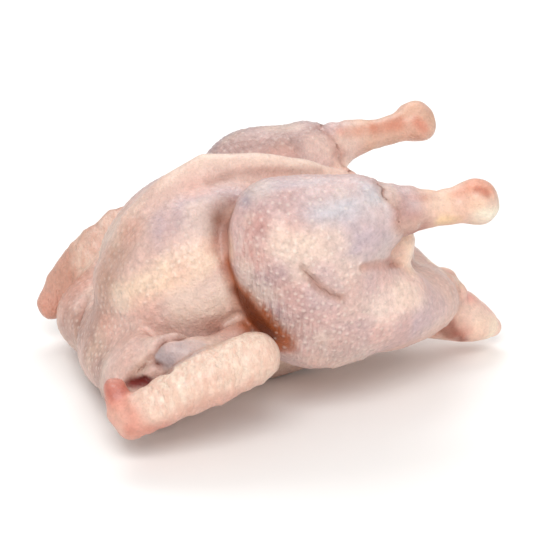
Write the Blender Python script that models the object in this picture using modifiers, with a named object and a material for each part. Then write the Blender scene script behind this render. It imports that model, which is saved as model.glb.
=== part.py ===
"""A whole raw chicken, skin on, lying on its back with its legs to the rear and its wings at its sides.

Metres, +Z up. +X runs to the tail, -Y is the bird's side that faces the viewer, and the origin is on
the ground under the body. The bird is one closed body: masses of muscle, fat and bone are laid in place
as balls and limbs, fused, rounded in the hollows between them, and cut flat where the back rests.
"""
import math

import bmesh
import bpy
from mathutils import Euler, Matrix, Vector

# Driving dimensions in millimetres, measured from the ground and from the middle plane of the body
KEEL_HEIGHT = 129
BREAST_LEAN = -12
THIGH_SPREAD = 50
HOCK_SPREAD = 60
NEAR_HOCK_X = 90
FAR_HOCK_X = 102
TAIL_TIP_X = 131
FOREARM_SPREAD = 82
BACK_SINK = 2.5

# How finely the masses are fused, and how far the hollows between them are rounded, in millimetres
VOXEL = 2.2
BODY_FILLET = 14
LEG_FILLET = 9
WING_FILLET = 3
SKIN_FILLET = 2.5

# How the fused skin is evened out and thinned
SMOOTH_ROUNDS = 3
SMOOTH_SHARE = 0.5
FACE_TARGET = 9600
ROUND_SIDES = 40
ROUND_RINGS = 24

MM = 0.001
NEAR = -1
FAR = 1


def clear_scene():
    """Remove whatever the file holds."""
    for old in list(bpy.data.objects):
        bpy.data.objects.remove(old)


def add_collection(name):
    """Add an empty collection to the scene."""
    collection = bpy.data.collections.new(name)
    bpy.context.scene.collection.children.link(collection)
    return collection


def millimetres(*values):
    """Turn a place or size given in millimetres into metres."""
    return Vector(value * MM for value in values)


def add_ball(shape, centre, radii, turn=(0, 0, 0)):
    """Add an ellipsoid, turned by degrees about X, Y and Z."""
    turned = Euler([math.radians(angle) for angle in turn]).to_matrix().to_4x4()
    sized = Matrix.Diagonal((*millimetres(*radii), 1))
    bmesh.ops.create_uvsphere(shape, u_segments=ROUND_SIDES, v_segments=ROUND_RINGS, radius=1,
                              matrix=Matrix.Translation(millimetres(*centre)) @ turned @ sized)


def add_limb(shape, joints):
    """Add a limb through joints, each x, y, z and the limb's radius there."""
    for x, y, z, radius in joints:
        add_ball(shape, (x, y, z), (radius, radius, radius))
    for first, second in zip(joints, joints[1:]):
        start = millimetres(*first[:3])
        end = millimetres(*second[:3])
        run = end - start
        middle = Matrix.Translation((start + end) / 2) @ run.to_track_quat("Z", "Y").to_matrix().to_4x4()
        bmesh.ops.create_cone(shape, cap_ends=True, segments=ROUND_SIDES, radius1=first[3] * MM,
                              radius2=second[3] * MM, depth=run.length, matrix=middle)


def to_object(shape, name):
    """Put a finished shape in an object of its own."""
    mesh = bpy.data.meshes.new(name)
    shape.to_mesh(mesh)
    shape.free()
    result = bpy.data.objects.new(name, mesh)
    bird.objects.link(result)
    return result


def add_remesh(target):
    """Fuse everything in the object into one skin."""
    remesh = target.modifiers.new("fuse", "REMESH")
    remesh.mode = "VOXEL"
    remesh.voxel_size = VOXEL * MM
    remesh.use_smooth_shade = True


def add_offset(target, distance):
    """Move the skin out, or in where the distance is negative."""
    offset = target.modifiers.new("offset", "DISPLACE")
    offset.direction = "NORMAL"
    offset.mid_level = 0
    offset.strength = distance * MM


def settle(target):
    """Keep the shape that the modifiers give, and drop the modifiers."""
    seen = target.evaluated_get(bpy.context.evaluated_depsgraph_get())
    mesh = bpy.data.meshes.new_from_object(seen)
    target.modifiers.clear()
    target.data = mesh


def fuse(shape, name, fillet):
    """Fuse masses into one skin and round the hollows between them by a fillet."""
    target = to_object(shape, name)
    add_remesh(target)
    add_offset(target, fillet)
    add_remesh(target)
    add_offset(target, -fillet)
    add_remesh(target)
    settle(target)
    return target


def join(parts):
    """Gather the meshes of several objects in one shape, and remove the objects."""
    shape = bmesh.new()
    for part in parts:
        shape.from_mesh(part.data)
        bpy.data.objects.remove(part)
    return shape


def add_hip(shape, side):
    """Add the hip, which belongs to the leg and to the body that it runs into."""
    add_ball(shape, (44, side * 24, 43), (42, 24, 21))
    add_ball(shape, (57, side * 23, 44), (36, 25, 19))


def make_body():
    """Breast, keel, shoulders, back, belly and rump."""
    shape = bmesh.new()
    rib_cage = (-26, 0, 56)
    neck_end = (-78, 0, 25)
    add_ball(shape, rib_cage, (79, 42, 47), (0, BREAST_LEAN, 0))
    add_ball(shape, neck_end, (33, 46, 24))
    for side in (NEAR, FAR):
        breast_muscle = (-39, side * 19, 71)
        shoulder = (-85, side * 40, 24)
        add_ball(shape, breast_muscle, (57, 34, 46), (side * 8, BREAST_LEAN, 0))
        add_ball(shape, shoulder, (20, 22, 20))
        add_hip(shape, side)
    keel = [(-92, 0, KEEL_HEIGHT - 58, 9.5), (-76, 0, KEEL_HEIGHT - 36, 9), (-56, 0, KEEL_HEIGHT - 19, 8),
            (-36, 0, KEEL_HEIGHT - 9, 8), (-12, 0, KEEL_HEIGHT - 10, 8), (13, 0, KEEL_HEIGHT - 15, 7.5),
            (34, 0, KEEL_HEIGHT - 22, 6)]
    add_limb(shape, keel)
    back_depth = 26.5
    back = (-20, 0, back_depth - BACK_SINK)
    belly = (36, 0, 64)
    rump = (64, 0, 36)
    add_ball(shape, back, (79, 23, back_depth))
    add_ball(shape, belly, (40, 34, 40))
    add_ball(shape, rump, (42, 26, 21))
    return fuse(shape, "body", BODY_FILLET)


def make_tail():
    """The short fleshy tail, with the small knob of the oil gland on top."""
    shape = bmesh.new()
    add_limb(shape, [(84, 0, 29, 17), (TAIL_TIP_X - 27, 0, 23, 13), (TAIL_TIP_X - 11, 0, 15, 7.5),
                     (TAIL_TIP_X - 5.5, 0, 12, 5.5)])
    root = (TAIL_TIP_X - 28, 0, 21)
    gland = (TAIL_TIP_X - 29, 0, 33)
    add_ball(shape, root, (25, 19, 12.5), (0, 18, 0))
    add_ball(shape, gland, (7, 10, 7.5))
    return fuse(shape, "tail", WING_FILLET)


def make_leg(side):
    """Thigh, hip, drumstick, bare shank and the knob of the hock."""
    thigh = side * THIGH_SPREAD
    knee = side * (THIGH_SPREAD + 5)
    calf = side * (HOCK_SPREAD - 3)
    hock = side * HOCK_SPREAD
    shape = bmesh.new()
    add_ball(shape, (10, thigh, 66), (42, 27, 42))
    add_ball(shape, (7, thigh, 84), (39, 28, 37))
    add_ball(shape, (34, side * 43, 55), (38, 26, 26))
    skin_behind_knee = (47, side * 32, 84)
    add_ball(shape, skin_behind_knee, (13, 13, 19))
    add_hip(shape, side)
    if side == NEAR:
        add_ball(shape, (-6, thigh, 80), (31, 27, 38))
        drumstick = [(-14, thigh, 101, 27), (22, knee, 106, 22), (50, calf, 108, 13.5),
                     (NEAR_HOCK_X - 24, calf, 108, 8.8), (NEAR_HOCK_X, hock, 110, 9.5)]
    else:
        drumstick = [(2, thigh, 95, 26), (31, knee, 102, 22), (58, calf, 109, 12.5),
                     (FAR_HOCK_X - 24, calf, 111.5, 8.4), (FAR_HOCK_X, hock, 115, 9.5)]
    add_limb(shape, drumstick)
    knob = drumstick[-1][:3]
    add_ball(shape, knob, (9.5, 12, 11.5))
    return fuse(shape, "leg", LEG_FILLET)


def make_wing(side):
    """Upper arm folded along the body, elbow, and forearm run forward to the cut wrist."""
    elbow = side * (FOREARM_SPREAD - 1)
    forearm = side * (FOREARM_SPREAD + 1)
    wrist = side * (FOREARM_SPREAD - 3)
    armpit = (-36, side * 62, 45)
    shape = bmesh.new()
    add_ball(shape, armpit, (17, 13, 14))
    if side == NEAR:
        add_limb(shape, [(-84, side * 50, 38, 13), (-70, side * 63, 49, 11), (-54, side * 71, 47, 9.5),
                         (-37, side * 78, 47, 9.5)])
        add_limb(shape, [(-37, elbow, 49, 13), (-62, forearm, 40.5, 14), (-88, elbow, 29, 11.5),
                         (-98, wrist, 24, 10)])
        thumb = (-103, side * 73, 30)
        add_ball(shape, thumb, (6, 7, 10))
    else:
        folded = side * (FOREARM_SPREAD - 4)
        add_limb(shape, [(-88, side * 54, 25, 17), (-66, side * 62, 50, 14), (-42, side * 69, 62, 12)])
        add_limb(shape, [(-41, folded, 64, 12), (-66, folded, 60, 12), (-86, folded, 47, 12),
                         (-99, folded, 32, 10.5), (-108, folded, 22, 8)])
    return fuse(shape, "wing", WING_FILLET)


def rest_flat(target):
    """Cut the bird level with the ground, so that its back rests on a small flat spot."""
    size = 0.5
    bpy.ops.mesh.primitive_cube_add(size=size, location=(0, 0, -size / 2))
    ground = bpy.context.active_object
    ground.name = "ground"
    for group in list(ground.users_collection):
        group.objects.unlink(ground)
    cutters.objects.link(ground)
    ground.hide_render = True
    ground.display_type = "WIRE"
    cut = target.modifiers.new("rest", "BOOLEAN")
    cut.operation = "DIFFERENCE"
    cut.solver = "EXACT"
    cut.object = ground


def even_out(target):
    """Soften the fused skin and thin it to the number of faces wanted."""
    soften = target.modifiers.new("soften", "SMOOTH")
    soften.factor = SMOOTH_SHARE
    soften.iterations = SMOOTH_ROUNDS
    thin = target.modifiers.new("thin", "DECIMATE")
    triangles = sum(len(face.vertices) - 2 for face in target.data.polygons)
    thin.ratio = min(1.0, FACE_TARGET / triangles)
    settle(target)


def skin_material():
    """Moist raw poultry skin."""
    material = bpy.data.materials.new("raw_skin")
    material.use_nodes = True
    shader = material.node_tree.nodes["Principled BSDF"]
    shader.inputs["Base Color"].default_value = (0.76, 0.55, 0.46, 1)
    shader.inputs["Roughness"].default_value = 0.45
    shader.inputs["Metallic"].default_value = 0
    return material


clear_scene()
bird = add_collection("whole_chicken")
cutters = add_collection("cutters")

pieces = [make_body(), make_tail()]
for side in (NEAR, FAR):
    pieces.append(make_leg(side))
    pieces.append(make_wing(side))
chicken = fuse(join(pieces), "chicken", SKIN_FILLET)
even_out(chicken)
rest_flat(chicken)
chicken.data.materials.append(skin_material())
chicken.data.shade_smooth()
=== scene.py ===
"""The looks of a whole raw chicken, skin on, lying on its back on a pale table."""
import math

import bpy
import numpy as np
from mathutils import Matrix, Vector
from mathutils.kdtree import KDTree


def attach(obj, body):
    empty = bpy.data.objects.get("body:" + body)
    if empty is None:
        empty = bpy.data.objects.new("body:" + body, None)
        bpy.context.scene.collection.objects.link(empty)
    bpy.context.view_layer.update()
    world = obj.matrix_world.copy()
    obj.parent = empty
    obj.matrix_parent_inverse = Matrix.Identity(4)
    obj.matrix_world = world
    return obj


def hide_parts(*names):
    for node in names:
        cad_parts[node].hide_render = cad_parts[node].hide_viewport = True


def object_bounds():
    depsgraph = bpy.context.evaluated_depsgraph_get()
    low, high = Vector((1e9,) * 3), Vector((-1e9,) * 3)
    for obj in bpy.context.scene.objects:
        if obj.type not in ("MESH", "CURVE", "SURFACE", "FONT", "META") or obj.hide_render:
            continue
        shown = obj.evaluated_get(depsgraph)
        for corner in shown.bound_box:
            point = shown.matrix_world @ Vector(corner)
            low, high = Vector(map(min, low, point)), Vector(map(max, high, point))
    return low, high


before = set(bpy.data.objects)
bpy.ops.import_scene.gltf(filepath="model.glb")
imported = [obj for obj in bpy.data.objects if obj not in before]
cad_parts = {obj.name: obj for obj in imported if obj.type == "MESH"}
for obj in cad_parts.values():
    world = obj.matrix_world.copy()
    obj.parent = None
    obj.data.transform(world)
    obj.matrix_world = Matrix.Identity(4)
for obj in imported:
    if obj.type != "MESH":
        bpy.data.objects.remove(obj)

cad_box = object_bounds()


# Flesh
# The bird is muscle, fat and bone under one skin. Its masses are laid in place as balls and limbs, in
# millimetres, and run into each other softly, or with a crease where the skin folds in between them.
MM = 0.001
TINY = 1e-6
NEAR = -1
FAR = 1


def turned(x, y, z):
    """A rotation matrix for angles in degrees about X, then Y, then Z."""
    return np.array(Matrix.Rotation(math.radians(z), 3, "Z")
                    @ Matrix.Rotation(math.radians(y), 3, "Y")
                    @ Matrix.Rotation(math.radians(x), 3, "X"), np.float32)


def ball(points, centre, radii, turn=(0, 0, 0)):
    """Distance from an ellipsoid."""
    local = (points - np.array(centre, np.float32)) @ turned(*turn)
    radii = np.array(radii, np.float32)
    scaled = np.linalg.norm(local / radii, axis=1)
    slope = np.linalg.norm(local / (radii * radii), axis=1)
    return scaled * (scaled - 1) / np.maximum(slope, TINY)


def limb(points, joints):
    """Distance from a limb through joints, each x, y, z and the radius there."""
    nearest = None
    for start, end in zip(joints, joints[1:]):
        base = np.array(start[:3], np.float32)
        run = np.array(end[:3], np.float32) - base
        along = np.clip((points - base) @ run / float(run @ run), 0, 1)
        away = np.linalg.norm(points - base - along[:, None] * run, axis=1)
        away -= start[3] + (end[3] - start[3]) * along
        nearest = away if nearest is None else np.minimum(nearest, away)
    return nearest


def blend(first, second, width):
    """Run two masses into each other over a width."""
    overlap = np.maximum(width - np.abs(first - second), 0) / width
    return np.minimum(first, second) - overlap * overlap * width / 4


def ramp(values, low, high):
    """Rise smoothly from 0 at low to 1 at high."""
    share = np.clip((values - low) / (high - low), 0, 1)
    return share * share * (3 - 2 * share)


# How the breast lies, in degrees, and how softly the masses of the body and hips meet, in millimetres
BREAST_TILT = -12
BREAST_ROLL = 8
BODY_BLEND = 14
HIP_BLEND = 12


def trunk(points):
    """Breast, keel, shoulders, back and belly."""
    skin = ball(points, (-24, 0, 54), (75, 42, 45), (0, BREAST_TILT, 0))
    for side in (NEAR, FAR):
        breast = ball(points, (-37, side * 19, 70), (53, 33, 45), (side * BREAST_ROLL, BREAST_TILT, 0))
        shoulder = ball(points, (-84, side * 40, 24), (19, 21, 19))
        skin = blend(blend(skin, breast, BODY_BLEND), shoulder, BODY_BLEND)
    skin = blend(skin, ball(points, (-76, 0, 23), (30, 46, 22)), BODY_BLEND)
    keel = limb(points, [(-86, 0, 67, 9), (-74, 0, 91, 8.5), (-56, 0, 110, 8), (-38, 0, 120, 8),
                         (-12, 0, 118.5, 8), (13, 0, 113, 7.5), (34, 0, 106, 6)])
    skin = blend(skin, keel, BODY_BLEND)
    back = ball(points, (-27, 0, 24), (72, 17, 26.5))
    belly = ball(points, (36, 0, 64), (40, 34, 40))
    return blend(blend(skin, back, BODY_BLEND), belly, BODY_BLEND)


def rump(points):
    """The hips and the fat that runs back to the tail."""
    skin = ball(points, (64, 0, 36), (42, 26, 20))
    for side in (NEAR, FAR):
        skin = blend(skin, ball(points, (44, side * 24, 43), (42, 24, 20)), HIP_BLEND)
        skin = blend(skin, ball(points, (57, side * 23, 44), (36, 25, 18)), HIP_BLEND)
    return skin


def tail(points):
    """The short fleshy tail, with the knob of its oil gland and three lobes of fat on top."""
    skin = limb(points, [(84, 0, 29, 17), (104, 0, 23, 13), (120, 0, 14.5, 7), (125.5, 0, 12, 5)])
    skin = blend(skin, ball(points, (103, 0, 21), (24, 18, 12), (0, 18, 0)), 6)
    skin = blend(skin, ball(points, (102, 0, 33), (6, 9, 7)), 4)
    for lobe in ((94, -7, 45), (98, 5, 44), (101, -7, 38)):
        skin = blend(skin, ball(points, lobe, (5.5, 6, 4.5)), 2)
    return skin


THIGH_BLEND = 10


def leg(points, side):
    """Thigh, hip, drumstick, bare shank and the knob of the hock."""
    thigh = ball(points, (8, side * 50, 63), (38, 27, 37))
    thigh = blend(thigh, ball(points, (4, side * 51, 84), (36, 27, 36)), THIGH_BLEND)
    if side == NEAR:
        thigh = blend(thigh, ball(points, (-6, side * 50, 80), (31, 27, 38)), THIGH_BLEND)
    thigh = blend(thigh, ball(points, (34, side * 43, 54), (36, 25, 24)), BODY_BLEND)
    if side == NEAR:
        drumstick = [(-14, side * 50, 101, 27), (22, side * 55, 106, 22), (50, side * 57, 108, 13),
                     (67, side * 58, 107.5, 8.6), (88, side * 60, 109.5, 9)]
    else:
        drumstick = [(4, side * 49, 94, 25), (32, side * 54, 102, 21), (58, side * 57, 109, 12),
                     (78, side * 58, 111.5, 8), (101, side * 60, 115, 9)]
    skin = blend(thigh, limb(points, drumstick), HIP_BLEND)
    hock = np.array(drumstick[-1][:3])
    knob = blend(ball(points, hock + (-2, side, 3.5), (9.5, 10.5, 8.5)),
                 ball(points, hock + (1, -side, -3), (8.5, 10.5, 7)), 3)
    fold_behind_knee = ball(points, (50, side * 36, 83), (13, 13, 17))
    return blend(blend(skin, knob, 5), fold_behind_knee, 6)


# How tightly the skin folds in between the parts, and at the wings
CREASE = 4
WING_CREASE = 3


def upper_arm(points, side):
    """The upper arm, folded along the body."""
    if side == NEAR:
        bone = limb(points, [(-84, side * 50, 38, 13), (-72, side * 63, 48, 10.5),
                             (-55, side * 71, 46, 9), (-38, side * 78, 46, 9)])
        web = limb(points, [(-58, side * 64, 47, 7), (-46, side * 60, 49, 7), (-37, side * 57, 53, 6)])
        return blend(bone, web, 6)
    return limb(points, [(-90, side * 54, 24, 18), (-66, side * 62, 52, 14), (-42, side * 68, 66, 12)])


def forearm(points, side):
    """The forearm from the elbow forward to the cut wrist, with the stub of the thumb."""
    if side == NEAR:
        arm = limb(points, [(-37, side * 81, 49, 13), (-62, side * 83, 41, 13.5),
                            (-87, side * 82, 30, 11), (-97, side * 79, 24, 10)])
        thumb = limb(points, [(-102, side * 76, 27, 7), (-104, side * 71, 37, 5)])
        return blend(arm, thumb, WING_CREASE)
    return limb(points, [(-42, side * 76, 66, 12), (-66, side * 78, 63, 12), (-85, side * 78, 49, 12),
                         (-99, side * 78, 33, 10.5), (-107, side * 77, 23, 8)])


# How sharp the skin's rim is where the back rests
REST_RIM = 1


def flesh(points):
    """Distance from the whole bird, and from each part of it."""
    parts = {"trunk": trunk(points), "rump": rump(points), "tail": tail(points)}
    x, z = points[:, 0], points[:, 2]
    skin = blend(parts["trunk"], parts["rump"], CREASE + 10 * ramp(x, 62, 40))
    skin = blend(skin, parts["tail"], 5)
    for side, name in ((NEAR, "near"), (FAR, "far")):
        parts[name + " leg"] = leg(points, side)
        parts[name + " upper arm"] = upper_arm(points, side)
        parts[name + " forearm"] = forearm(points, side)
        hip = ramp(x, 14, 60) * ramp(z, 80, 40)
        shoulder = ramp(x, -74, -84)
        skin = blend(skin, parts[name + " leg"], CREASE + BODY_BLEND * hip)
        skin = blend(skin, parts[name + " upper arm"], WING_CREASE + 12 * shoulder)
        skin = blend(skin, parts[name + " forearm"], WING_CREASE)
    return -blend(-skin, z, REST_RIM), parts


# Skin
# One sheet of skin covers the flesh. It is meshed finely enough for creases, folds and the small mounds
# where feathers grew, and it stands for the whole solid bird.

# In millimetres: the room left round the bird, the steps of a coarse grid, and how near the skin the
# distances are worked out again on a grid that is finer by a number of times
MARGIN = 8
COARSE = 4.05
BAND = 7.0
FINER = 3


def grid(low, counts, step):
    """Points of a regular grid."""
    axes = [low[i] + step * np.arange(counts[i], dtype=np.float32) for i in range(3)]
    return np.stack(np.meshgrid(*axes, indexing="ij"), -1)


def sample_flesh():
    """Distances on a fine grid, worked out only near the skin."""
    low = np.array(cad_box[0], np.float32) / MM - MARGIN
    high = np.array(cad_box[1], np.float32) / MM + MARGIN
    counts = np.ceil((high - low) / COARSE).astype(int)
    rough = flesh(grid(low, counts, COARSE).reshape(-1, 3))[0].reshape(counts)
    step = COARSE / FINER
    for axis in range(3):
        rough = np.repeat(rough, FINER, axis)
    start = low - step * (FINER - 1) / 2
    points = grid(start, rough.shape, step)
    close = np.abs(rough) < BAND
    rough[close] = flesh(points[close])[0]
    return rough, start, step


def net(distances, start, step):
    """A mesh of quads over the surface where the distance is nought, one point in each crossed cell."""
    inside = distances < 0
    size = np.array(inside.shape) - 1
    total = np.zeros((*size, 3), np.float32)
    count = np.zeros(size, np.float32)
    corners = [(i, j, k) for i in (0, 1) for j in (0, 1) for k in (0, 1)]

    def part(values, corner):
        return values[tuple(slice(c, c + n) for c, n in zip(corner, size))]

    for first in corners:
        for axis in range(3):
            if first[axis]:
                continue
            second = list(first)
            second[axis] = 1
            a, b = part(distances, first), part(distances, second)
            crossed = (a < 0) != (b < 0)
            share = np.where(crossed, a / np.where(crossed, a - b, 1), 0)
            for other in range(3):
                total[..., other] += crossed * (share if other == axis else first[other])
            count += crossed
    cells = count > 0
    index = np.full(size, -1)
    index[cells] = np.arange(cells.sum())
    places = np.argwhere(cells) + total[cells] / count[cells][:, None]
    faces = []
    for axis in range(3):
        u, v = (axis + 1) % 3, (axis + 2) % 3
        lower = np.take(inside, range(inside.shape[axis] - 1), axis)
        upper = np.take(inside, range(1, inside.shape[axis]), axis)
        for out, crossing in ((True, lower & ~upper), (False, ~lower & upper)):
            at = np.argwhere(crossing)
            at = at[(at[:, u] > 0) & (at[:, v] > 0) & (at[:, u] < size[u]) & (at[:, v] < size[v])]
            ring = []
            for du, dv in ((1, 1), (0, 1), (0, 0), (1, 0)):
                cell = at.copy()
                cell[:, u] -= du
                cell[:, v] -= dv
                ring.append(index[tuple(cell.T)])
            quad = np.stack(ring, 1)
            faces.append(quad if out else quad[:, ::-1])
    return start + step * places, np.concatenate(faces)


def gradient(points):
    """Which way is out of the flesh, at each point."""
    reach = 0.6
    slopes = []
    for axis in range(3):
        shift = np.zeros(3, np.float32)
        shift[axis] = reach
        slopes.append(flesh(points + shift)[0] - flesh(points - shift)[0])
    out = np.stack(slopes, 1)
    return out / np.maximum(np.linalg.norm(out, axis=1), TINY)[:, None]


# The points of the skin, drawn onto the flesh, and the same points with the far side laid over the near
places, quads = net(*sample_flesh())
places = places.astype(np.float32)
outward = gradient(places)
places -= outward * flesh(places)[0][:, None]
paired = places * (1, -1, 1)
paired[:, 1] = -np.abs(places[:, 1])
parts = flesh(places)[1]

# Large numbers that scramble the corners of the noise's lattice, and the range that they are kept in
CORNER_KEYS = np.array([73856093, 19349663, 83492791])
SCRAMBLE = 1274126177
KEY_RANGE = 2 ** 31


def noise(points, size, seed):
    """Smooth random values from -1 to 1, in lumps of one size or of a size along each axis."""
    cells = points / np.array(size, np.float32)
    low = np.floor(cells)
    share = ramp(cells - low, 0, 1)
    total = np.zeros(len(points), np.float32)
    for corner in np.ndindex(2, 2, 2):
        key = ((low + corner).astype(np.int64) + seed) @ CORNER_KEYS
        for turn in (13, 15):
            key = (key ^ (key >> turn)) % KEY_RANGE * SCRAMBLE
        value = (key >> 16) % 2 ** 16 / 2 ** 15 - 1
        total += value * np.prod(np.where(corner, share, 1 - share), axis=1)
    return total


def near(points, line, soft):
    """Rise to 1 within a soft distance of a line, whose points are x, y, z and half its width."""
    return 1 - ramp(limb(points, line), 0, soft)


def fold(first, second, soft):
    """Rise to 1 where two parts meet in the skin."""
    return 1 - ramp(np.maximum(parts[first], parts[second]), 0, soft)


def on(part, soft=3):
    """Rise to 1 over one part of the bird."""
    return 1 - ramp(parts[part], 0, soft)


# Feather follicles, in slanting rows about four millimetres apart. They are evened out in a few rounds,
# those that own too few points of the skin go, and the rest stray a little from their rows.
FOLLICLE_GAP = 3.9
ROW_GAP = 0.866 * FOLLICLE_GAP
ROW_SLANT = math.radians(38)
EVEN_ROUNDS = 6
FEWEST = 5
STRAY = 0.3
STRAY_SEED = 4


def nearest(seeds, points):
    """Which seed is nearest to each point."""
    tree = KDTree(len(seeds))
    for index, seed in enumerate(seeds.tolist()):
        tree.insert(seed, index)
    tree.balance()
    return np.array([tree.find(point)[1] for point in points.tolist()])


def middles(owner, points):
    """The middle of the points that each seed owns, without seeds that own too few."""
    count = np.bincount(owner)
    total = np.stack([np.bincount(owner, points[:, axis]) for axis in range(3)], 1)
    kept = count >= FEWEST
    return total[kept] / count[kept][:, None]


def follicle_places():
    """Lay a slanting lattice over each side of the bird, then even it out over the skin."""
    facing = np.argmax(np.abs(outward), axis=1)
    across = np.choose(facing, (places[:, 1], places[:, 0], places[:, 0]))
    up = np.choose(facing, (places[:, 2], places[:, 2], places[:, 1]))
    row = np.round((up * math.cos(ROW_SLANT) - across * math.sin(ROW_SLANT)) / ROW_GAP)
    along = (across * math.cos(ROW_SLANT) + up * math.sin(ROW_SLANT)) / FOLLICLE_GAP
    column = np.round(along - row % 2 / 2)
    away = outward[np.arange(len(outward)), facing] > 0
    cells = np.stack([facing * 2 + away, row, column], 1)
    owner = np.unique(cells, axis=0, return_inverse=True)[1].ravel()
    seeds = middles(owner, places)
    for _ in range(EVEN_ROUNDS):
        seeds = middles(nearest(seeds, places), places)
    return seeds + np.random.default_rng(STRAY_SEED).normal(0, STRAY, seeds.shape)


follicles = follicle_places()
from_follicle = np.linalg.norm(places - follicles[nearest(follicles, places)], axis=1)

# Where the skin runs in at the far wing, which takes painted shade, and at the thighs, which dip and take
# painted shade, and the bare shanks
wing_fold_shade = np.maximum(fold("far forearm", "trunk", 6), fold("far upper arm", "trunk", 6))
thigh_edges = np.maximum(fold("near leg", "trunk", 5), fold("far leg", "trunk", 5))
thigh_edges *= 1 - ramp(places[:, 0], -5, 20)
shank = ramp(places[:, 0], 48, 60) * ramp(places[:, 2], 88, 98)

# How plainly the follicles show: strong on the thighs and the sides of the breast, faint elsewhere
USUAL_PORES = 0.55
FAINT_PORES = 0.12
pores = np.full(len(places), USUAL_PORES, np.float32)
for points, level, soft, line in [
        # keel
        (paired, 0.05, 14, [(-60, 0, 112, 6), (-36, 0, 122, 8), (34, 0, 110, 8)]),
        # thigh
        (paired, 1.0, 14, [(-8, -70, 100, 22), (-8, -70, 60, 20), (25, -70, 50, 14)]),
        # band of fat over the breast
        (paired, 1.0, 8, [(-46, -50, 92, 5), (-70, -45, 84, 7), (-98, -20, 62, 10),
                          (-106, -20, 30, 10)]),
        # hollow before the thigh, and the armpit below it
        (paired, 0.15, 12, [(-38, -40, 108, 8), (-46, -52, 76, 5), (-60, -50, 68, 6)]),
        (paired, 0.0, 5, [(-34, -58, 70, 5), (-30, -64, 60, 7), (-46, -56, 54, 5)]),
        # near upper arm
        (places, 0.1, 6, [(-84, -70, 48, 6), (-62, -76, 54, 6)])]:
    pores += near(points, line, soft) * (level - pores)
for name in ("tail", "near forearm", "far forearm"):
    pores += on(name) * (FAINT_PORES - pores)
pores *= 1 - shank

# Height of the skin above or below the flesh, in millimetres: broad unevenness, then the small mound of
# each follicle, which stands higher over the fat of the breast
MOUND = 0.5
MOUND_IN_FAT = 0.4
MOUND_REACH = 1.15
height = 0.6 * noise(places, 24, 1) + 0.3 * noise(places, 9, 2)
fat = near(paired, [(-46, -50, 92, 5), (-70, -45, 84, 5), (-96, -26, 66, 5)], 6)
height += (MOUND + MOUND_IN_FAT * fat) * pores * np.exp(-(from_follicle / MOUND_REACH) ** 2)

# Creases and folds, each with its depth, how softly it runs out, and its line. They also give the
# painted shade in each crease, and how far each point is from a seam, where a thin line of painted
# shade and a groove are drawn.
DEEPEST = 3
NO_SEAM = 9
creases = np.zeros_like(height)
seam = np.full_like(height, NO_SEAM)
for points, depth, soft, line in [
        # grey furrow beside the keel
        (paired, 0.5, 3, [(-40, -12, 116, 1), (-25, -11, 121, 1), (-6, -9, 119, 1), (23, -4, 114, 1)]),
        # fold of breast skin over the wing
        (places, 2.0, 2.5, [(-96, -62, 36, 1), (-84, -64, 47, 1), (-79, -64, 56, 1), (-70, -66, 58, 1),
                            (-59, -58, 56, 1), (-47, -54, 55, 1), (-38, -54, 60, 1)]),
        # end of the upper arm
        (places, 2.0, 2.5, [(-84, -64, 47, 1), (-82, -69, 45, 1), (-78, -80, 46, 1)]),
        # slit in the skin by the thumb
        (places, 3.0, 3, [(-98, -62, 32, 1.5), (-89, -66, 36, 1.5)]),
        # crease in the thigh
        (paired, 1.5, 4, [(-12, -79, 93, 0), (-7, -80, 87, 0), (-2, -80, 81, 0.5), (3, -80, 77, 0),
                          (10, -79, 74, 0)]),
        # fold between drumstick and hip
        (paired, 1.4, 3, [(21, -76, 88, 0.5), (29, -72, 87, 1), (41, -60, 82, 1), (52, -46, 76, 0.5)]),
        # edge of the breast over the far wing
        (places, 1.6, 4, [(-90, 42, 52, 0), (-97, 34, 42, 0), (-103, 25, 30, 0), (-104, 20, 17, 0)]),
        # closed vent over the tail
        (places, 2.2, 5, [(94, -9, 56, 0), (95, 0, 57, 0), (94, 9, 56, 0)]),
        # skin drawn together at the neck
        (places, 2.6, 6, [(-96, -12, 8, 1), (-99, 0, 7, 1), (-96, 12, 8, 1)])]:
    share = near(points, line, soft)
    height -= depth * share
    creases = np.maximum(creases, share * depth / DEEPEST)
    middle = [(*place[:3], 0) for place in line]
    seam = np.minimum(seam, limb(points, middle) + (DEEPEST - depth) / 2)
height -= 1.2 * thigh_edges
hollow_before_thigh = [(-36, -40, 110, 2), (-43, -48, 98, 1)]
height -= 2.0 * near(paired, hollow_before_thigh, 12)
height -= 1.0 * fold("tail", "rump", 5)

# Gathered folds where the skin runs under the thigh and across the root of the tail, and lumpy shanks
GATHER_TILT = -45
gathers = near(paired, [(2, -70, 44, 8), (16, -62, 30, 8)], 14)
height += 0.7 * gathers * noise(places @ turned(0, GATHER_TILT, 0), (3.2, 6, 20), 3)
tail_root = np.maximum(near(paired, [(80, -30, 40, 6), (92, -8, 38, 14)], 8),
                       near(paired, [(88, -20, 24, 6), (100, -16, 14, 3)], 5))
height += 0.8 * tail_root * noise(places, (3, 14, 14), 4)
height += 0.5 * shank * noise(places, 6, 13)

# Quill ridges on the forearms, which end before the bare wrist
QUILL_TILT = -30
quills = np.zeros_like(height)
for name in ("near forearm", "far forearm"):
    quills += on(name, 2)
    height += 0.8 * on(name, 2) * noise(places @ turned(0, QUILL_TILT, 0), (3.6, 12, 7), 5)
quills *= 1 - near(places, [(-97, -85, 22, 8), (-103, -77, 30, 8)], 10)

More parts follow.
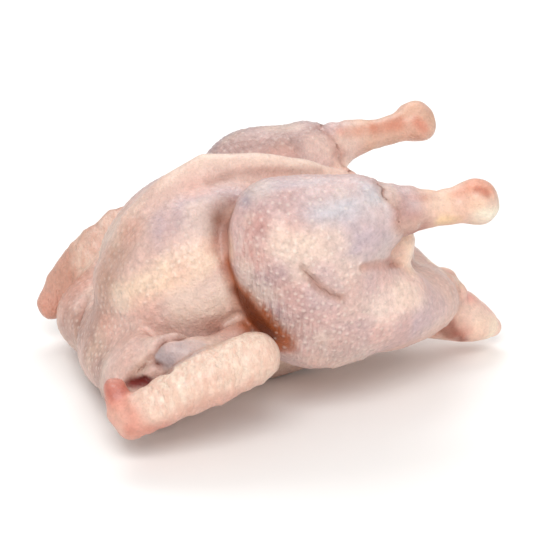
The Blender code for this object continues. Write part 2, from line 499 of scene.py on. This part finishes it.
# Torn edge of the skin on the drumsticks: ragged, slanting, and further back on the far leg
TORN_AT = 41
TORN_SLANT = 0.35
FAR_TORN_SHIFT = 6
edge = places[:, 0] + 4 * noise(places, (30, 6, 6), 6) + TORN_SLANT * (places[:, 2] - 110) - TORN_AT
edge -= FAR_TORN_SHIFT * (places[:, 1] > 0)
drumstick = ramp(places[:, 2], 84, 92)
height -= 0.9 * ramp(edge, -2, 1) * drumstick * (1 - ramp(edge, 12, 30))
# Along the edge runs a seam, broken here and there, with a thin line of painted shade and a groove
broken = 3 * ramp(noise(places, 2.5, 11), -0.3, 0.3)
seam = np.minimum(seam, np.abs(edge) + 0.5 + broken + NO_SEAM * (1 - drumstick))
gathered = drumstick * ramp(edge, -4, 0) * (1 - ramp(edge, 8, 16))
height += 0.9 * gathered * noise(places, (3.5, 6, 6), 12)

# Fine wrinkles down the front and along the foot of the thigh, but not over the old blood beside it. The
# material lightens them as painted glints of light on their ridges.
wrinkles = near(paired, [(-34, -66, 98, 4), (-27, -70, 68, 6), (0, -72, 42, 8), (16, -66, 34, 8)], 12)
wrinkles *= 1 - near(paired, [(-36, -54, 76, 2), (-30, -64, 61, 4), (-20, -69, 50, 3)], 8)

# The skin itself, which rests on the ground and doesn't sink into it
grown = places + outward * height[:, None]
grown[:, 2] = np.maximum(grown[:, 2], 0)

mesh = bpy.data.meshes.new("chicken_skin")
mesh.from_pydata((grown * MM).tolist(), [], quads.tolist())
mesh.shade_smooth()
skin = bpy.data.objects.new("chicken_skin", mesh)
bpy.context.scene.collection.objects.link(skin)


def linear(hex_colour):
    """Turn an sRGB hex colour into linear light."""
    values = [int(hex_colour[i:i + 2], 16) / 255 for i in (1, 3, 5)]
    return [v / 12.92 if v <= 0.04045 else ((v + 0.055) / 1.055) ** 2.4 for v in values] + [1]


# What shows through the skin: fat as cream and yellow, muscle as lavender and rose, old blood as rust
# and red. The colours are laid on in strokes along lines on the body.
# Some strokes are painted shade in hollows, folds and creases, and some are painted highlights; each is
# marked where it is laid on.
tone = np.tile(np.array(linear("#d3b0a4"), np.float32), (len(places), 1))


def paint_colour_and_light(colour, share):
    """Mix a colour into the skin by a share for each point, for its own colours and for painted shade and
    highlights alike.
    """
    tone[:] += share[:, None] * (np.array(linear(colour), np.float32) - tone)


# Each part has its own ground colour, and the strokes over it are uneven, as the fat and muscle are
patchy = 0.85 + 0.3 * noise(places, 7, 9)
paint_colour_and_light("#c7a9a6", 0.9 * np.maximum(on("near leg"), on("far leg")) * (1 - shank))
paint_colour_and_light("#bf907d", np.maximum(on("far forearm"), on("far upper arm")))
paint_colour_and_light("#e6cdba", np.maximum(on("near forearm"), on("far forearm") * ramp(places[:, 1], 78, 86)))
paint_colour_and_light("#eec5b5", on("tail"))
for points, colour, share, soft, line in [
        # back
        (paired, "#d9b9a5", 0.6, 26, [(-60, 0, 0, 14), (60, 0, 10, 14)]),
        # thigh, from the knee down
        (paired, "#998e99", 0.8, 12, [(-26, -56, 122, 5), (8, -68, 121, 6)]),
        # painted highlight, pale and bluish, on the top of the thigh
        (paired, "#c7c0c3", 0.9, 16, [(4, -68, 121, 5), (34, -68, 116, 6)]),
        (paired, "#b9a9b1", 0.8, 12, [(12, -76, 104, 3), (30, -74, 98, 5)]),
        (paired, "#a3716c", 0.85, 9, [(-28, -66, 110, 3), (-30, -68, 100, 3)]),
        (paired, "#ddc2b4", 0.85, 11, [(-19, -76, 104, 3), (4, -78, 103, 4)]),
        (paired, "#9b7d7f", 0.9, 16, [(-24, -70, 80, 5), (-16, -73, 62, 6)]),
        (paired, "#c0a09d", 0.7, 14, [(14, -76, 72, 4), (28, -74, 62, 4)]),
        (paired, "#c49e94", 0.8, 14, [(-12, -71, 52, 5), (12, -72, 45, 5)]),
        (paired, "#bc9c94", 0.6, 10, [(5, -66, 34, 6), (18, -62, 30, 6)]),
        (paired, "#edd3c5", 0.9, 12, [(36, -70, 64, 5), (54, -58, 66, 5)]),
        (paired, "#c2a7ab", 0.8, 12, [(46, -60, 46, 5), (68, -42, 46, 5)]),
        # painted shade in the fold between drumstick and hip
        (paired, "#d0998b", 0.8, 4, [(21, -76, 88, 0), (29, -72, 87, 0.5), (41, -60, 82, 0.5),
                                     (54, -44, 75, 0)]),
        # painted shade in the crease in the thigh
        (paired, "#ad8072", 0.7, 4, [(-10, -79, 91, 0.5), (-5, -80, 84, 1), (1, -80, 79, 0.5),
                                     (9, -79, 74, 0)]),
        # painted light: the fold behind the knee is kept bright, as if lit, though it lies in shade
        (paired, "#ffe1c9", 1.0, 8, [(48, -42, 92, 8), (54, -40, 76, 8)]),
        # breast
        (paired, "#b69da0", 0.9, 16, [(-62, -30, 104, 6), (-32, -30, 116, 5)]),
        (paired, "#b48c79", 0.8, 14, [(-84, -12, 92, 4), (-100, -12, 58, 5)]),
        (paired, "#a27768", 0.8, 12, [(-103, -2, 48, 6), (-105, -14, 34, 6), (-102, -38, 20, 6)]),
        (paired, "#e1c6b9", 0.9, 14, [(-46, -52, 70, 5), (-62, -52, 68, 5)]),
        (paired, "#cbaba2", 0.8, 10, [(-82, -50, 58, 5), (-70, -58, 60, 4)]),
        (paired, "#e7c9b1", 1.0, 9, [(-44, -51, 97, 3), (-57, -48, 89, 5), (-70, -45, 83, 5),
                                     (-84, -40, 75, 5), (-96, -26, 66, 5)]),
        (paired, "#e2c6b6", 1.0, 9, [(-60, 0, 116, 2), (-36, 0, 126, 4), (-10, 0, 125, 4),
                                     (34, 0, 111, 3)]),
        # painted shade along the grey furrow beside the keel
        (paired, "#b79387", 0.75, 4, [(-40, -12, 116, 0), (-25, -11, 121, 0), (-6, -9, 119, 0),
                                      (23, -4, 114, 0)]),
        # painted shade in the hollow before the thigh
        (paired, "#845444", 0.95, 9, [(-34, -30, 117, 2), (-39, -37, 109, 4), (-42, -46, 97, 2)]),
        # painted shade in the armpit
        (paired, "#b57e6b", 0.8, 8, [(-56, -56, 53, 3), (-46, -56, 54, 4), (-38, -54, 57, 4)]),
        # near wing
        (places, "#a49394", 0.9, 4, [(-80, -72, 50, 5), (-64, -75, 54, 5)]),
        (places, "#daa696", 0.85, 8, [(-42, -92, 38, 3), (-66, -92, 30, 4), (-90, -86, 20, 5)]),
        (places, "#c54a2f", 1.0, 10, [(-92, -88, 18, 6), (-99, -84, 22, 7)]),
        (places, "#cd7965", 0.95, 5, [(-102, -76, 28, 7), (-105, -71, 38, 5)]),
        (places, "#a02c18", 0.9, 5, [(-105, -70, 43, 2), (-106, -77, 38, 2), (-100, -76, 39, 1)]),
        # far wing
        (places, "#bf8a79", 0.8, 8, [(-96, 52, 40, 6), (-99, 46, 26, 5)]),
        (places, "#e0c2b2", 0.9, 8, [(-72, 72, 70, 4), (-88, 66, 52, 4)]),
        (places, "#d18d79", 0.55, 8, [(-106, 76, 24, 6), (-109, 76, 22, 6)]),
        # shanks and hocks
        (places, "#e5bda5", 1.0, 10, [(68, -58, 110, 8), (90, -60, 110, 12)]),
        (places, "#d8886c", 0.75, 7, [(76, -63, 118, 0), (88, -64, 121, 4)]),
        (places, "#a84a2e", 0.7, 3, [(84, -68, 119, 0.5), (88, -70, 117, 0.5)]),
        (places, "#e8c692", 0.7, 5, [(66, -65, 104, 1), (74, -66, 103, 1)]),
        (places, "#ebe4cf", 0.9, 7, [(88, -68, 103, 5), (96, -64, 103, 5)]),
        (places, "#d8aa90", 1.0, 12, [(74, 58, 112, 8), (101, 60, 115, 12)]),
        (places, "#c57459", 0.9, 6, [(54, 47, 118, 1), (86, 51, 119, 2)]),
        (places, "#ca7051", 0.8, 4, [(97, 49, 119, 1), (101, 48, 115, 1)]),
        (places, "#a98880", 0.85, 16, [(-24, 42, 118, 6), (24, 44, 120, 8)]),
        (places, "#e7c7b8", 0.8, 10, [(34, 40, 110, 4), (52, 44, 106, 4)]),
        (paired, "#ae7466", 0.85, 8, [(42, -66, 118, 1), (44, -70, 108, 3), (54, -64, 102, 3)]),
        (paired, "#a05040", 0.7, 3, [(46, -68, 101, 0), (54, -63, 98, 0), (60, -58, 99, 0)]),
        (paired, "#b4705c", 0.7, 4, [(50, -64, 117, 0), (62, -62, 115, 0)]),
        # tail
        (places, "#e2968a", 0.9, 6, [(104, -6, 36, 2), (119, -2, 23, 1)]),
        # painted highlight, cream, along the middle of the tail
        (places, "#fbe4c6", 1.0, 7, [(108, -11, 20, 3), (119, -6, 14, 4)]),
        (paired, "#ce9280", 0.85, 7, [(88, -18, 22, 4), (98, -18, 21, 4)]),
        # painted shade in the fold under the root of the tail, where the rump overhangs it
        (paired, "#9c5541", 1.0, 5, [(88, -18, 27, 3), (95, -18, 16, 3), (101, -15, 12, 2)]),
        (paired, "#f5d9bf", 0.7, 6, [(92, -8, 49, 2), (100, -5, 42, 3)]),
        (paired, "#8c4a3a", 0.8, 2.5, [(94, -13, 40, 0), (98, -12, 39, 0)]),
        (paired, "#8c4a3a", 0.7, 2.5, [(88, -12, 50, 0), (90, -11, 48, 0)])]:
    paint_colour_and_light(colour, share * patchy * near(points, line, soft))
# Painted shade where the thighs run in
paint_colour_and_light("#a67160", 0.6 * thigh_edges)
# Darker along the torn edge
paint_colour_and_light("#a8776a", 0.6 * drumstick * np.exp(-(edge / 3) ** 2))
# Painted shade where the wings run in, in every crease and in the fold at the root of the tail
paint_colour_and_light("#9a6453", 0.6 * np.maximum(wing_fold_shade, fold("near forearm", "near upper arm", 3)))
paint_colour_and_light("#8a5342", 0.8 * creases)
paint_colour_and_light("#a9634c", 0.5 * fold("tail", "rump", 3))
# Blotches of rose and of cream all over
paint_colour_and_light("#dda796", 0.35 * ramp(noise(places, 16, 7), 0, 0.7))
paint_colour_and_light("#e4ccb9", 0.35 * ramp(noise(places, 13, 8), 0, 0.7))
# Old blood: rust around the crease before the thigh, its dark heart, and red in the slit by the thumb
paint_colour_and_light("#a8612f", 0.7 * near(paired, [(-34, -63, 73, 1), (-28, -67, 64, 3), (-22, -68, 54, 3)], 8))
paint_colour_and_light("#9c4c1c", 0.95 * near(paired, [(-40, -51, 88, 0), (-37, -54, 79, 1), (-34, -60, 69, 4),
                                      (-30, -64, 62, 6), (-20, -69, 50, 5)], 8))
paint_colour_and_light("#70300c", near(paired, [(-37, -54, 74, 1), (-34, -60, 68, 4), (-30, -64, 61, 3),
                               (-24, -67, 53, 2)], 4))
paint_colour_and_light("#6b150b", near(places, [(-98, -62, 33, 2), (-87, -66, 36, 2), (-86, -72, 36, 1)], 3))

# What the material reads at each point, and the follicle that is nearest to each face
mesh.attributes.new("skin_tone", "FLOAT_COLOR", "POINT").data.foreach_set("color", tone.ravel())
for name, values in (("pores", pores), ("wrinkles", wrinkles), ("quills", quills), ("seam", seam)):
    mesh.attributes.new(name, "FLOAT", "POINT").data.foreach_set("value", values)
centres = places[quads].mean(axis=1)
mesh.attributes.new("follicle", "FLOAT_VECTOR", "FACE").data.foreach_set(
    "vector", (follicles[nearest(follicles, centres)] * MM).ravel())


def add_node(tree, kind, inputs, output=0, **settings):
    """Add a shader node, give each input a value or the socket that feeds it, and return an output."""
    node = tree.nodes.new("ShaderNode" + kind)
    for name, value in settings.items():
        setattr(node, name, value)
    for name, value in inputs.items():
        if isinstance(value, bpy.types.NodeSocket):
            tree.links.new(value, node.inputs[name])
        else:
            node.inputs[name].default_value = value
    return node.outputs[output]


def drawn_noise(tree, where, lean, scale, shown_by):
    """Crisp streaks of noise that lean in the upright plane, as plain as an attribute of the mesh says."""
    drawn = add_node(tree, "Mapping", {"Vector": where, "Rotation": (0, lean, 0), "Scale": scale})
    fine = add_node(tree, "TexNoise", {"Vector": drawn, "Scale": 1.0, "Detail": 2.0}, "Fac")
    sharp = add_node(tree, "MapRange", {"Value": fine, "From Min": 0.38, "From Max": 0.62})
    shown = add_node(tree, "Attribute", {}, "Fac", attribute_name=shown_by)
    return add_node(tree, "Math", {0: sharp, 1: shown}, operation="MULTIPLY")


# Raw poultry skin: thin, moist and a little see-through, with a satin shine, mottled by the fat under it
# and finely creped. The patterns are in lumps or lines to the metre: mottling 3 mm across, crepe a
# little over 1 mm, wrinkles and quill streaks 1 to 2 mm apart, drawn as coarse as they need to be to
# show. The dots of the follicles and the thin lines of painted shade along seams are in metres and
# millimetres.
MOTTLING = 320.0
CREPE = 850.0
WRINKLES = (700.0, 300.0, 90.0)
WRINKLE_LEAN = math.radians(-28)
QUILL_STREAKS = (450.0, 260.0, 150.0)
QUILL_LEAN = math.radians(-20)
DOT_MIDDLE = 0.2 * MM
SMALLEST_DOT = 1.0 * MM
LARGEST_DOT = 1.6 * MM
SEAM_LINE_HEART = 0.5
SEAM_LINE_EDGE = 1.7


def raw_skin():
    """The colours laid on the mesh, with follicles, mottling, crepe, streaks, and painted glints on
    wrinkles and shade in seams.
    """
    material = bpy.data.materials.new("raw_skin")
    material.use_nodes = True
    tree = material.node_tree
    shader = tree.nodes["Principled BSDF"]
    where = add_node(tree, "TexCoord", {}, "Object")

    # A pale dot on each follicle, of its own size and strength
    follicle = add_node(tree, "Attribute", {}, "Vector", attribute_name="follicle")
    away = add_node(tree, "VectorMath", {0: where, 1: follicle}, "Value", operation="DISTANCE")
    luck = add_node(tree, "TexWhiteNoise", {"Vector": follicle}, "Value")
    reach = add_node(tree, "MapRange", {"Value": luck, "To Min": SMALLEST_DOT, "To Max": LARGEST_DOT})
    dot = add_node(tree, "MapRange", {"Value": away, "From Min": reach, "From Max": DOT_MIDDLE},
                   interpolation_type="SMOOTHSTEP")
    pores = add_node(tree, "Attribute", {}, "Fac", attribute_name="pores")
    strength = add_node(tree, "Math", {0: luck, 1: 0.5, 2: 0.55}, operation="MULTIPLY_ADD")
    shown = add_node(tree, "Math", {0: pores, 1: strength}, operation="MULTIPLY")
    dot = add_node(tree, "Math", {0: dot, 1: shown}, operation="MULTIPLY")

    # Mottling, crepe, wrinkles, quill streaks, and the thin line of painted shade and groove along the
    # seams
    mottling = add_node(tree, "TexNoise", {"Vector": where, "Scale": MOTTLING, "Detail": 5.0}, "Fac")
    crepe = add_node(tree, "TexNoise", {"Vector": where, "Scale": CREPE, "Detail": 3.0}, "Fac")
    lines = drawn_noise(tree, where, WRINKLE_LEAN, WRINKLES, "wrinkles")
    streaks = drawn_noise(tree, where, QUILL_LEAN, QUILL_STREAKS, "quills")
    from_seam = add_node(tree, "Attribute", {}, "Fac", attribute_name="seam")
    seam_shade_and_groove = add_node(tree, "MapRange", {"Value": from_seam, "From Min": SEAM_LINE_EDGE,
                                        "From Max": SEAM_LINE_HEART}, interpolation_type="SMOOTHSTEP")

    # Lighter and darker by the mottling, most where the follicles are plain, and by the crepe
    spread = add_node(tree, "Math", {0: shown, 1: 0.6, 2: 0.35}, operation="MULTIPLY_ADD")
    light = 0.98
    for pattern, share in ((mottling, spread), (crepe, 0.3)):
        swing = add_node(tree, "Math", {0: pattern, 1: 0.5}, operation="SUBTRACT")
        light = add_node(tree, "Math", {0: swing, 1: share, 2: light}, operation="MULTIPLY_ADD")
    colour = add_node(tree, "Attribute", {}, "Color", attribute_name="skin_tone")
    colour = add_node(tree, "VectorMath", {0: colour, "Scale": light}, operation="SCALE")
    # Pale follicle dots, quill streaks, wrinkles lightened as painted glints on their ridges, and painted
    # shade along the seams
    for layer, most, tint in ((dot, 0.36, "#f3e4d8"), (streaks, 0.4, "#cf9a86"),
                              (lines, 0.24, "#f0e2d8"), (seam_shade_and_groove, 0.6, "#8a4c3a")):
        share = add_node(tree, "Math", {0: layer, 1: most}, operation="MULTIPLY")
        colour = add_node(tree, "Mix", {0: share, 6: colour, 7: linear(tint)}, 2, data_type="RGBA")

    # How far each stands out, in millimetres
    height = 0.0
    for layer, depth in ((crepe, 0.45), (mottling, 0.75), (dot, 0.25), (lines, 0.3), (streaks, 0.4),
                         (seam_shade_and_groove, -0.8)):
        height = add_node(tree, "Math", {0: layer, 1: depth, 2: height}, operation="MULTIPLY_ADD")
    bump = add_node(tree, "Bump", {"Height": height, "Distance": MM, "Strength": 1.0})
    rough = add_node(tree, "MapRange", {"Value": crepe, "To Min": 0.36, "To Max": 0.56})
    tree.links.new(colour, shader.inputs["Base Color"])
    tree.links.new(rough, shader.inputs["Roughness"])
    tree.links.new(bump, shader.inputs["Normal"])
    shader.inputs["IOR"].default_value = 1.4
    shader.inputs["Subsurface Weight"].default_value = 0.08
    shader.inputs["Subsurface Radius"].default_value = (1.0, 0.35, 0.2)
    shader.inputs["Subsurface Scale"].default_value = 1.5 * MM
    shader.inputs["Coat Weight"].default_value = 0.3
    shader.inputs["Coat Roughness"].default_value = 0.25
    return material


mesh.materials.append(raw_skin())
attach(skin, "root")
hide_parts("chicken")


# Studio
# A plain white table, a soft bright room and a camera in front of the bird's side, a little above it.
def add_floor():
    """A wide table top, painted matt white."""
    reach = 6
    floor_mesh = bpy.data.meshes.new("table")
    corners = [(-reach, -reach, 0), (reach, -reach, 0), (reach, reach, 0), (-reach, reach, 0)]
    floor_mesh.from_pydata(corners, [], [(0, 1, 2, 3)])
    floor = bpy.data.objects.new("table", floor_mesh)
    bpy.context.scene.collection.objects.link(floor)
    # White paint on wood: even and matt, so that it takes no more than a soft shade
    paint = bpy.data.materials.new("white_table")
    paint.use_nodes = True
    top = paint.node_tree.nodes["Principled BSDF"]
    top.inputs["Base Color"].default_value = linear("#f6f5f3")
    top.inputs["Roughness"].default_value = 0.7
    floor_mesh.materials.append(paint)


def add_lamp(name, place, target, size, power):
    """A soft square lamp that faces a point."""
    lamp = bpy.data.lights.new(name, "AREA")
    lamp.size = size
    lamp.energy = power
    holder = bpy.data.objects.new(name, lamp)
    holder.location = place
    holder.rotation_euler = (Vector(target) - Vector(place)).to_track_quat("-Z", "Y").to_euler()
    bpy.context.scene.collection.objects.link(holder)


# Where the camera stands, the size of a pixel at the bird, and the pixel of the ground point under it
AZIMUTH = math.radians(-17)
ELEVATION = math.radians(21.5)
VIEW_DISTANCE = 1.05
PIXEL = 0.54 * MM
IMAGE_SIZE = 540
AIM_PIXEL = (276, 374)
SENSOR = 36


def add_camera():
    """The camera, aimed so that the ground point under the bird falls on its pixel."""
    right = Vector((math.cos(AZIMUTH), math.sin(AZIMUTH), 0))
    back = Vector((math.sin(AZIMUTH) * math.cos(ELEVATION), -math.cos(AZIMUTH) * math.cos(ELEVATION),
                   math.sin(ELEVATION)))
    up = back.cross(right)
    half = IMAGE_SIZE / 2
    centre = right * (half - AIM_PIXEL[0]) * PIXEL + up * (AIM_PIXEL[1] - half) * PIXEL
    camera = bpy.data.cameras.new("camera")
    camera.sensor_width = SENSOR
    camera.lens = SENSOR * VIEW_DISTANCE / (PIXEL * IMAGE_SIZE)
    holder = bpy.data.objects.new("camera", camera)
    holder.matrix_world = Matrix.Translation(centre + back * VIEW_DISTANCE) @ Matrix(
        (right, up, back)).transposed().to_4x4()
    bpy.context.scene.collection.objects.link(holder)
    bpy.context.scene.camera = holder


add_floor()
add_camera()
add_lamp("key", (-0.45, -1.0, 1.1), (0, 0, 0.05), 0.8, 15)
add_lamp("backdrop", (0.1, 1.0, 1.2), (0.1, 0.7, 0), 1.2, 13)
add_lamp("fill", (0.9, -0.9, 0.7), (0, 0, 0.05), 1.2, 3)
world = bpy.data.worlds.new("room")
world.use_nodes = True
room_light = world.node_tree.nodes["Background"]
room_light.inputs["Color"].default_value = linear("#ffffff")
room_light.inputs["Strength"].default_value = 0.5
bpy.context.scene.world = world
bpy.context.scene.view_settings.view_transform = "Standard"
